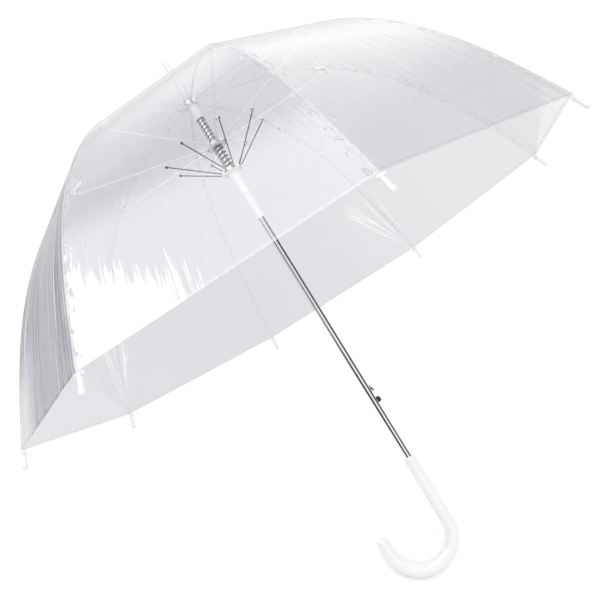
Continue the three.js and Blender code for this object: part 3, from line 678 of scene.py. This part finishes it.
catchTop, catchFoot = catch["height"] + catch["length"] / 2, catch["height"] - catch["length"] / 2
catchOut, catchBack, catchWall = outer + catch["reach"], outer - catch["depth"], catch["wall"]
openFoot = catchFoot + 2 * catchWall
catchOutline = [(catchBack, openFoot), (outer, openFoot), (catchOut - catchWall, catchFoot), (catchOut, catchFoot),
                (catchOut, catchFoot + catchWall / 2), (outer, catchTop), (catchBack, catchTop)]
catchShape = plate(catchOutline, -catch["thickness"] / 2, catch["thickness"] / 2)
makePiece("catchLeaf", catchShape, darkWire, "catch_leaf", ["catch_leaf"], catchAzimuth, bevel=0.2)

buttonTop, buttonFoot = button["height"] + button["length"] / 2, button["height"] - button["length"] / 2
buttonOut, buttonBack, blunt = outer + button["reach"], outer - button["depth"], button["reach"] / 3
buttonOutline = [(buttonBack, buttonFoot), (buttonOut - blunt, buttonFoot), (buttonOut, buttonFoot + blunt),
                 (buttonOut, buttonTop - 2 * blunt), (buttonOut - blunt, buttonTop), (buttonBack, buttonTop)]
buttonShape = plate(buttonOutline, -button["thickness"] / 2, button["thickness"] / 2)
makePiece("releaseButton", buttonShape, darkWire, "release_button", ["release_button"],
          catchAzimuth, bevel=0.45)

springBack, springFace, leaf = leafSpring["back"], leafSpring["face"], leafSpring["leaf"]
springTop = catchTop + leafSpring["above"]
leafOutline = [
    (springBack, springTop), (springBack, buttonFoot), (springFace, buttonFoot), (springFace, catchTop),
    (springFace - leaf, catchTop), (springFace - leaf, buttonFoot + leaf), (springBack + leaf, buttonFoot + leaf),
    (springBack + leaf, springTop),
]
leafShape = plate(leafOutline, -leafSpring["half"], leafSpring["half"])
catchSpring = makePiece("catchSpring", leafShape, darkSteel, "frame", ["catch_spring"],
                        catchAzimuth, bevel=0.1)
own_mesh(catchSpring)
print("shaft and catch made")

# crown, hub and runner: turned bodies with radial slots and a ring's groove; a profile is a list of radii and
# heights, a slot runs from one radius to another, and a groove also has two heights

bore = 5.3
crown = dict(
    profile=[(bore, -27), (6.4, -27), (6.4, -4), (13, -4), (13, 3), (bore, 3)], fillet=0.5,
    slots=[(6.8, 13, (-1.5, 1.5), (-5, 4))], groove=(8.5, 10.5, -0.9, 4), ring=(9.5, 0.6, 0),
)
hub = dict(
    profile=[(bore, -75.6), (16.8, -75.6), (16.8, -70.4), (7.5, -70.4), (7.5, -69), (bore, -69)], fillet=0.7,
    slots=[(11.9, 16.8, (-1.7, 3.6), (-76.6, -69.4))], groove=(13.7, 15.3, -76.6, -72.2), ring=(14.5, 0.55, -73),
)
runner = dict(
    profile=[(bore, -199), (6.4, -199), (6.4, -158), (7.6, -158), (7.6, -154), (6.9, -154), (6.9, -119.8),
             (16.8, -119.8), (16.8, -114.6), (bore, -114.6)],
    slots=[(8.5, 16.8, (-1.7, 1.7), (-121, -113.6)), (12.3, 16.8, (1.4, 3.6), (-121, -113.6))], fillet=0.6,
    groove=(13.7, 15.3, -118, -113.6), ring=(14.5, 0.55, -117.2), window=((0, 7.4), (-1.4, 1.4), (-196.4, -181.4)),
)
mainCoil = dict(radius=7, wire=0.85, turns=7, bottom=-114.3, top=-75.9)
bufferCoil = dict(radius=6, wire=0.5, turns=8, bottom=-67.3, top=-27.3)
ferrule = dict(
   
    profile=[(bore, 5.3), (9, 5.3), (9, 6.5), (6.6, 10.1), (5.2, 52.9), (5.2, 74.9), (4.4, 75.7), (0, 75.7),
             (0, 46.3), (bore, 46.3)],
    fillet=0.8,
)
washer = dict(profile=[(bore, 3.8), (8.5, 3.8), (8.5, 5), (bore, 5)], fillet=0.4)


def roundedBody(part):
    return turned(rounded(part["profile"], part["fillet"]))


def radialSlots(start, end, across, height):
    cuts = []
    for k in ribs:
        points, faces = block((start, end + 1), across, height)
        cuts.append(("DIFFERENCE", (np.array([turnedTo(p, ribAzimuth(k)) for p in points]), faces)))
    return cuts


def slottedBody(part, *more):
    slots = [cut for slot in part["slots"] for cut in radialSlots(*slot)]
    near, far, low, high = part["groove"]
    groove = turned([(near, low), (far, low), (far, high), (near, high)])
    return combined(roundedBody(part), *slots, ("DIFFERENCE", groove), *more)


def ringPiece(name, ring, body, stands=()):
    radius, wire, height = ring
    turn = np.arange(16) * tau / 16
    profile = [(radius + wire * cos(a), height + wire * sin(a)) for a in turn]
    return makePiece(name, turned(profile), darkWire, body, stands)


makePiece("crownNotch", slottedBody(crown), whiteGloss, "frame", ["crown_notch"])
ringPiece("crownRing", crown["ring"], "frame", ["crown_ring"])
makePiece("stretcherHub", slottedBody(hub), whiteGloss, "stretcher_hub", ["stretcher_hub"])
ringPiece("hubRing", hub["ring"], "stretcher_hub")
runnerShape = slottedBody(runner, ("DIFFERENCE", atCatch(block(*runner["window"]))))
makePiece("runnerBody", runnerShape, whiteGloss, "runner", ["runner"])
ringPiece("runnerRing", runner["ring"], "runner")

mainSpring = makePiece("mainSpring", wound(**mainCoil), darkSteel, "runner", ["main_spring"])
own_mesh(mainSpring)
makePiece("bufferSpring", wound(**bufferCoil), paleCoil, "frame", ["buffer_spring"])
makePiece("ferruleCap", roundedBody(ferrule), whiteGloss, "frame", ["ferrule"])
makePiece("canopyWasher", roundedBody(washer), whiteGloss, "frame", ["canopy_washer"])
print("crown, hub and runner made")

# handle

bendLength = handle["bendRadius"] * radians(handle["bendAngle"])
handleLength = handle["straight"] + bendLength + handle["endLength"]


def handleLine(along):
    turn = min(max(along - handle["straight"], 0), bendLength) / handle["bendRadius"]
    past = max(along - handle["straight"] - bendLength, 0)
    down = min(along, handle["straight"]) + handle["bendRadius"] * sin(turn) + past * cos(turn)
    out = handle["bendRadius"] * (1 - cos(turn)) + past * sin(turn)
    return out, handle["top"] - down, turn - pi / 2


def gripRadius(along):
    share = along / handleLength
    for (low, first), (high, second) in zip(handle["grip"], handle["grip"][1:]):
        if share <= high:
            part = (share - low) / (high - low)
            return first + (second - first) * part * part * (3 - 2 * part)
    return handle["grip"][-1][1]


stations = [(handle["boreDepth"], bore), (0, bore)] + handle["mouth"]
gripPlaces = np.linspace(handle["gripStart"], handleLength - handle["endGap"], 110)
stations += [(along, gripRadius(along)) for along in gripPlaces]
for angle in np.linspace(0, pi / 2, 8):
    shortened, narrowed = handle["endRound"] * (1 - sin(angle)), handle["endRound"] * (1 - cos(angle))
    stations.append((handleLength - shortened, gripRadius(handleLength) - narrowed))
handleShape = bar(handleLine, stations, 48)
makePiece("handleGrip", handleShape, whiteHandle, "frame", ["handle"],
          radians(handle["azimuth"]), sharp=50)
print("handle made")

# one rib assembly, made once in its radial plane and then set round the shaft

fork = dict(back=17, round=2.3, half=2.7, slotHalf=1.5, slotBack=8, slotAhead=5, slotTop=4, slotFoot=-12)
pin = dict(radius=0.7, half=3.0, sides=16)
middle = dict(ends=(-1.6, 4.2), head=1.3, heads=((3.6, 4.2), (-1.8, -1.25)), headSides=20)
tip = dict(
    profile=[(2.9, 0.3), (2.75, 6), (2.8, 13), (3.5, 20.2), (3.2, 22.6), (1.9, 24)], fillet=0.9, bore=1.7,
    boreDepth=14.3, ears=((-2.2, 2.2), (-5, 5), (0.3, 3.7)),
)
tongue = rib["tongue"]


def flatTongue(start, end):
    return "UNION", plate(strap(start, end, tongue), -tongue, tongue)


def eye(centre, radius):
    return "UNION", crossPin(centre, radius, -tongue, tongue)


def pinHole(centre, radius):
    return "DIFFERENCE", crossPin(centre, radius, -3, 3)


def allStations(part, length):
    return [*part["stations"]] + [(length - back, radius) for back, radius in part["outerStations"]]


upperStations = [(rib["start"] - 1, rib["neck"])]
upperStations += [(along, rib["radius"]) for along in np.linspace(rib["start"], rib["upperEnd"], 32)]
upperShape = combined(
    bar(ribLine, upperStations, 14), flatTongue(crownPin, ribLine(rib["tongueReach"])[:2]),
    eye(crownPin, rib["crownEye"]), pinHole(crownPin, rib["crownHole"]),
)

forkEnd, half = ribLine(rib["inner"] - fork["back"])[:2], fork["half"]
forkOuter = plate(strap(forkEnd, flexPin, fork["round"]), -half, half)
forkLeg = plate(strap(flexPin, outerPin, fork["round"]), -half, half)
slotStart, slotEnd = rib["inner"] - fork["slotBack"], rib["inner"] + fork["slotAhead"]
slotOutline = [above(slotStart, fork["slotTop"]), above(slotEnd, fork["slotTop"]),
               above(slotEnd, fork["slotFoot"]), above(slotStart, fork["slotFoot"])]
forkSlot = plate(slotOutline, -fork["slotHalf"], fork["slotHalf"])
forkShape = combined(forkOuter, ("UNION", forkLeg), ("DIFFERENCE", forkSlot))
half = pin["half"]
pinPoints, pinFaces = crossPin(flexPin, pin["radius"], -half, half, pin["sides"])
otherPoints, otherFaces = crossPin(outerPin, pin["radius"], -half, half, pin["sides"])
shifted = [tuple(i + len(pinPoints) for i in face) for face in otherFaces]
pinShape = (np.concatenate([pinPoints, otherPoints]), pinFaces + shifted)

lowerPlaces = np.linspace(rib["inner"] + rib["start"], rib["length"] + rib["pastRim"], 60)
lowerStations = [(rib["inner"] + (rib["start"] - 1), rib["outerNeck"])]
lowerStations += [(along, rib["outerRadius"]) for along in lowerPlaces]
lowerShape = combined(
    bar(ribLine, lowerStations, 14), flatTongue(flexPin, ribLine(rib["inner"] + rib["tongueReach"])[:2]),
    eye(flexPin, rib["jointEye"]), pinHole(flexPin, rib["jointHole"]),
)

middleEye = plate(strap(middleFoot, middlePin, stretcher["middleEye"]), -tongue, tongue)
strutShape = combined(
    bar(strutLine, allStations(stretcher, strutLength), 16),
    flatTongue(stretcher["hub"], ahead(stretcher["hub"], strutSlope, rib["tongueReach"])),
    flatTongue(outerPin, ahead(outerPin, strutSlope, -rib["tongueReach"])), eye(outerPin, rib["jointEye"]),
    ("UNION", middleEye), pinHole(outerPin, rib["jointHole"]),
)
middleHeads = [("UNION", crossPin(middlePin, middle["head"], *ends, middle["headSides"]))
               for ends in middle["heads"]]
middlePinShape = combined(crossPin(middlePin, pin["radius"], *middle["ends"], pin["sides"]), *middleHeads)

linkLine = straight(link["runner"], middlePin)
linkLength = apart(link["runner"], middlePin)
linkShape = combined(
    bar(linkLine, allStations(link, linkLength), 12), ("UNION", ringLoop(link["runner"], *link["runnerLoop"])),
    ("UNION", ringLoop(middlePin, *link["middleLoop"])),
)
linkShape = (linkShape[0] + np.array([0, link["across"], 0]), linkShape[1])

rimX, rimZ, rimSlope = ribLine(rib["length"])
tipMouth, tipEnd = tip["profile"][0][1], tip["profile"][-1][1]
tipProfile = [(tip["bore"], tipMouth), *tip["profile"], (0, tipEnd), (0, tip["boreDepth"]),
              (tip["bore"], tip["boreDepth"])]
tipMouthCut = turned([(0, -1), (tip["bore"], -1), (tip["bore"], 5), (0, 5)], 40)
tipBody, tipFaces = combined(turned(rounded(tipProfile, tip["fillet"]), 40), ("UNION", block(*tip["ears"])),
                             ("DIFFERENCE", tipMouthCut))
rimCos, rimSin = cos(rimSlope), sin(rimSlope)
turnOut = np.array([[rimCos, 0, rimSin], [0, 1, 0], [-rimSin, 0, rimCos]])
tipPoints = np.column_stack([tipBody[:, 2], tipBody[:, 1], -tipBody[:, 0]]) @ turnOut + np.array([rimX, 0, rimZ])
tipShape = (tipPoints, tipFaces)

for k in ribs:
    azimuth = ribAzimuth(k)
    upper, lower, strut, wire = (f"{name}_{k}" for name in ("rib_upper", "rib_lower", "stretcher", "link"))
    makePiece(f"ribUpper_{k}", upperShape, ribFibre, upper, [upper], azimuth)
    makePiece(f"ribFork_{k}", forkShape, whiteStrut, upper, (), azimuth, bevel=0.25)
    makePiece(f"forkPins_{k}", pinShape, darkSteel, upper, (), azimuth, bevel=0.15)
    makePiece(f"ribLower_{k}", lowerShape, ribFibre, lower, [lower], azimuth)
    makePiece(f"ribTip_{k}", tipShape, whiteGloss, lower, [f"rib_tip_{k}"], azimuth, bevel=0.3)
    makePiece(f"strut_{k}", strutShape, whiteStrut, strut, [strut], azimuth)
    makePiece(f"middlePin_{k}", middlePinShape, darkSteel, strut, (), azimuth, bevel=0.12)
    makePiece(f"wireLink_{k}", linkShape, darkWire, wire, [wire], azimuth)
print("ribs made")

# canopy film

canopy = dict(
    lift=3.9, half=0.1, bore=5.7, crownReach=14, crownOverlap=3.5, crownHeight=3.5, joinLength=25, hem=4.2,
    hemRise=-0.5, seam=0.01, seamRise=0.25, discLap=0.3, foldTilt=16.6, foldPlace=100,
)
slack = dict(
    depth=1.6, evenShare=0.06, goreEdge=120, folds=(22, 150), fine=(2.3, 0.45), ribFade=6, start=60, full=200,
)
upperRows = [canopy["joinLength"] + (rib["inner"] - canopy["joinLength"]) * i / 24 for i in range(25)]
lowerRows = [rib["inner"] + (rib["length"] - rib["inner"]) * i / 60 for i in range(61)]


def creaseDepth(azimuth, along):  # millimetres that the film stands off its even shape
    offRib = abs((azimuth / (2 * halfGore)) % 1 - 0.5) * 2
    share = azimuth / tau
    edge = min(share - creased["gore"][0], creased["gore"][1] - share)
    inGore = min(1, max(0, edge * slack["goreEdge"]))
    depth = slack["depth"] * (slack["evenShare"] + (1 - slack["evenShare"]) * inGore)
    fineness, length = slack["folds"]
    fan = Vector((cos(azimuth) * fineness, sin(azimuth) * fineness, along / length))
    size, part = slack["fine"]
    sag = min(1, max(0, (along - slack["start"]) / slack["full"]))
    loose = (1 - offRib) * min(1, offRib * slack["ribFade"]) * sag
    return depth * loose * (noise.noise(fan) + part * noise.noise(fan * size))


def filmCorner(along, offset=0.0):  # where the film crosses a rib's plane; below zero it lies flat on the crown
    if along <= 0:
        return canopy["crownReach"] + along, canopy["crownHeight"]
    return above(along, canopy["lift"] + canopy["half"] + offset)


def filmPoint(k, share, along, offset=0.0):  # share runs across the gore from -1 to 1, with the rib at 0
    out, height = filmCorner(along, offset)
    x = out * (1 - abs(share) * sin(halfGore) ** 2)
    y = share * out * sin(halfGore) * cos(halfGore)
    azimuth = ribAzimuth(k) + atan2(y, x)
    depth, slope = (creaseDepth(azimuth, along), ribLine(along)[2]) if along > 0 else (0, 0)
    point = turnedTo((x + depth * sin(slope), y, height - depth * cos(slope)), ribAzimuth(k))
    chart = (azimuth / tau, max(along, 0) / rib["length"])
    return placed(point), chart, (y / 100, (rib["length"] - along) / 100)


def filmMesh(name, grid, material, body, stands=(), closed=False):
    count = len(grid[0])
    cells = [cell for row in grid for cell in row]
    columns = count if closed else count - 1
    faces = [(i + j, i + (j + 1) % count, i + count + (j + 1) % count, i + count + j)
             for i in range(0, (len(grid) - 1) * count, count) for j in range(columns)]
    mesh = bpy.data.meshes.new(name)
    mesh.from_pydata([point for point, _, _ in cells], [], faces)
    for chartName, part in (("along", 1), ("fromTip", 2)):
        chart = mesh.uv_layers.new(name=chartName)
        for loop in mesh.loops:
            chart.data[loop.index].uv = cells[loop.vertex_index][part]
    mesh.shade_smooth()
    mesh.materials.append(material)
    piece = linked(name, mesh)
    piece.visible_shadow = piece.visible_diffuse = False  # so clear that it hardly shades what is under it
    return assign(piece, body, stands)


def filmPiece(name, k, shares, rows, material, body, offset=0.0, stands=()):
    grid = [[filmPoint(k, share, along, offset) for share in shares] for along in rows]
    return filmMesh(name, grid, material, body, stands)


def declare(shares, rows):  # works out the width, length and area of a film piece's flat cut, in metres, and hands none of them on
    corners = [filmCorner(along) for along in rows]
    widths = [(shares.max() - shares.min()) * sin(halfGore) * out for out, _ in corners]
    steps = [apart(start, end) for start, end in zip(corners, corners[1:])]
    area = sum((first + second) / 2 * step for first, second, step in zip(widths, widths[1:], steps))
    max(widths) / 1000
    sum(steps) / 1000
    area / 1e6


def gather(piece, k, sideways):  # works out where the film would gather to its rib as the umbrella shuts, but only gives the piece a mesh of its own
    chord = np.array([rimX, rimZ]) - np.array(flexPin)
    chord /= np.linalg.norm(chord)
    inward = np.array([-abs(chord[1]), 0, -abs(chord[0])]) if sideways else np.zeros(3)
    tilt = radians(canopy["foldTilt"]) if sideways else 0
    direction = cos(tilt) * np.array([0, sideways or 1, 0]) + sin(tilt) * inward
    x, z = above((rib["inner"] + rib["length"]) / 2, canopy["lift"])
    anchor = (x, 0, z) if sideways else (canopy["foldPlace"], 0, 0)
    direction, anchor = turnedTo(direction, ribAzimuth(k)), turnedTo(anchor, ribAzimuth(k))
    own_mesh(piece)


full = np.linspace(-1, 1, 33)
topRows = [-canopy["crownOverlap"], 0] + upperRows
hemRows = np.linspace(rib["length"] - canopy["hem"], rib["length"], 6)
seamShares = np.array([-1, 0, 1]) * canopy["seam"]
for k in ribs:
    upper, lower = f"rib_upper_{k}", f"rib_lower_{k}"
    seams = [filmPiece(f"seamUpper_{k}", k, seamShares, upperRows, seamFilm, upper, canopy["seamRise"]),
             filmPiece(f"seamLower_{k}", k, seamShares, lowerRows, seamFilm, lower, canopy["seamRise"])]
    top = filmPiece(f"filmUpper_{k}", k, full, topRows, clearFilm, upper, stands=["canopy_film"])
    gather(top, k, 0)
    declare(full, topRows)
    for label, sideways in (("Left", -1), ("Right", 1)):
        shares = np.linspace(min(0, sideways), max(0, sideways), 17)
        panel = filmPiece(f"filmLower{label}_{k}", k, shares, lowerRows, clearFilm, lower)
        gather(panel, k, sideways)
        hem = filmPiece(f"hem{label}_{k}", k, shares, hemRows, hemFilm, lower, canopy["hemRise"])
        gather(hem, k, sideways)
        declare(shares, lowerRows)

discTurns = np.arange(64) * tau / 64
discRadii = (canopy["bore"], canopy["crownReach"] - canopy["crownOverlap"] + canopy["discLap"])
discGrid = [[(placed((radius * cos(a), radius * sin(a), canopy["crownHeight"])), (a / tau, 0),
              (0, rib["length"] / 100)) for a in discTurns] for radius in discRadii]
disc = filmMesh("filmCrown", discGrid, clearFilm, "frame", closed=True)
print("canopy made")

# floor, lamp and the studio that the shine reflects: a pale room with bright and dark patches on its walls, whose
# limits are degrees round the room and above its horizon

room = dict(
    floorHalf=40, floorTone=0.72, floorGlow=0.31, sky=0.93, lampPower=72, lampPlace=(-2.2, 2.4, 5.8), lampSize=2,
    lampAim=(0, 0, 0.3),
)
darkCard = dict(x=(-0.32, 0.12), y=0.47, z=(0.002, 0.21), tone=0.02)
window = dict(turn=(24, 95), rise=(20, 64), strength=3.4, fade=8)
pane = dict(turn=(-4, 24), rise=(21, 41.5), slant=1.2, strength=5.0, fade=0.5)
wall = dict(turn=(-62, 16), rise=(12, 34), strength=0.55, fade=8)
corner = dict(turn=(-110, -64), rise=(28, 60), strength=-0.2, fade=4)
rightScreen = dict(turn=(0, 80), rise=(28, 62), fade=1.5)  # turned half round, clear of the seam of the angle
leftScreen = dict(turn=(55, 118), rise=(-2, 20), fade=1.5)


def shownShare(paint):  # 1 for what the camera, metal and glass see
    rays = ("Is Camera Ray", "Is Glossy Ray", "Is Transmission Ray")
    return sum(paint.node("ShaderNodeLightPath", out=ray) for ray in rays).sum("MINIMUM", 1.0)


def stageMesh(name, corners, material):
    mesh = bpy.data.meshes.new(name)
    mesh.from_pydata(corners, [], [tuple(range(len(corners)))])
    mesh.materials.append(material)
    thing = linked(name, mesh)
    return thing


floorMaterial, floorPaint = finish("floor")
ground = floorPaint.node("ShaderNodeBsdfDiffuse", {}, {"Color": grey(room["floorTone"])})
floorGlow = shownShare(floorPaint) * room["floorGlow"]
glow = floorPaint.node("ShaderNodeEmission", {}, {"Color": grey(1), "Strength": floorGlow})
floorPaint.surface(floorPaint.node("ShaderNodeAddShader", {}, {0: ground, 1: glow}))
floorSquare = [(x * room["floorHalf"], y * room["floorHalf"], 0) for x, y in ((-1, -1), (1, -1), (1, 1), (-1, 1))]
stageMesh("floor", floorSquare, floorMaterial)

cardMaterial, cardPaint = finish("darkCard")
cardPaint.surface(cardPaint.node("ShaderNodeBsdfDiffuse", {}, {"Color": grey(darkCard["tone"])}))
(left, right), (low, high) = darkCard["x"], darkCard["z"]
cardCorners = [(x, darkCard["y"], z) for x, z in ((left, low), (right, low), (right, high), (left, high))]
card = stageMesh("darkCard", cardCorners, cardMaterial)
card.visible_camera = card.visible_diffuse = card.visible_shadow = card.visible_transmission = False

world = bpy.data.worlds.new("studio")
world.use_nodes = True
bpy.context.scene.world = world
sky = Paint(world.node_tree)
direction = sky.node("ShaderNodeTexCoord", out="Generated")
east, north, rise = (sky.node("ShaderNodeSeparateXYZ", {}, {0: direction}, out=i) for i in range(3))
rise = rise.sum("ARCSINE").sum("DEGREES")


def patch(shape, half=1):  # 1 in a stretch of the room's walls, 0 outside it
    turn = (north * half).sum("ARCTAN2", east * half).sum("DEGREES") - shape.get("slant", 0) * rise
    return sky.inside(turn, shape["turn"], shape["fade"]) * sky.inside(rise, shape["rise"], shape["fade"])


reflected = 1 + sum(patch(shape) * shape["strength"] for shape in (window, pane, wall, corner))
reflected = reflected * (1 - patch(rightScreen, -1)) * (1 - patch(leftScreen))
glossy = sky.node("ShaderNodeLightPath", out="Is Glossy Ray")
plain = room["sky"] + (1 - room["sky"]) * shownShare(sky)
strength = plain * (1 - glossy) + reflected * glossy
backdrop = sky.node("ShaderNodeBackground", {}, {"Color": grey(1), "Strength": strength})
sky.node("ShaderNodeOutputWorld", {}, {"Surface": backdrop})

lampData = bpy.data.lights.new("softLamp", "AREA")
lampData.energy, lampData.size = room["lampPower"], room["lampSize"]
lamp = linked("softLamp", lampData)
lamp.location = room["lampPlace"]
lamp.rotation_euler = (Vector(room["lampAim"]) - lamp.location).to_track_quat("-Z", "Y").to_euler()
lamp.visible_glossy = False
print("room made")
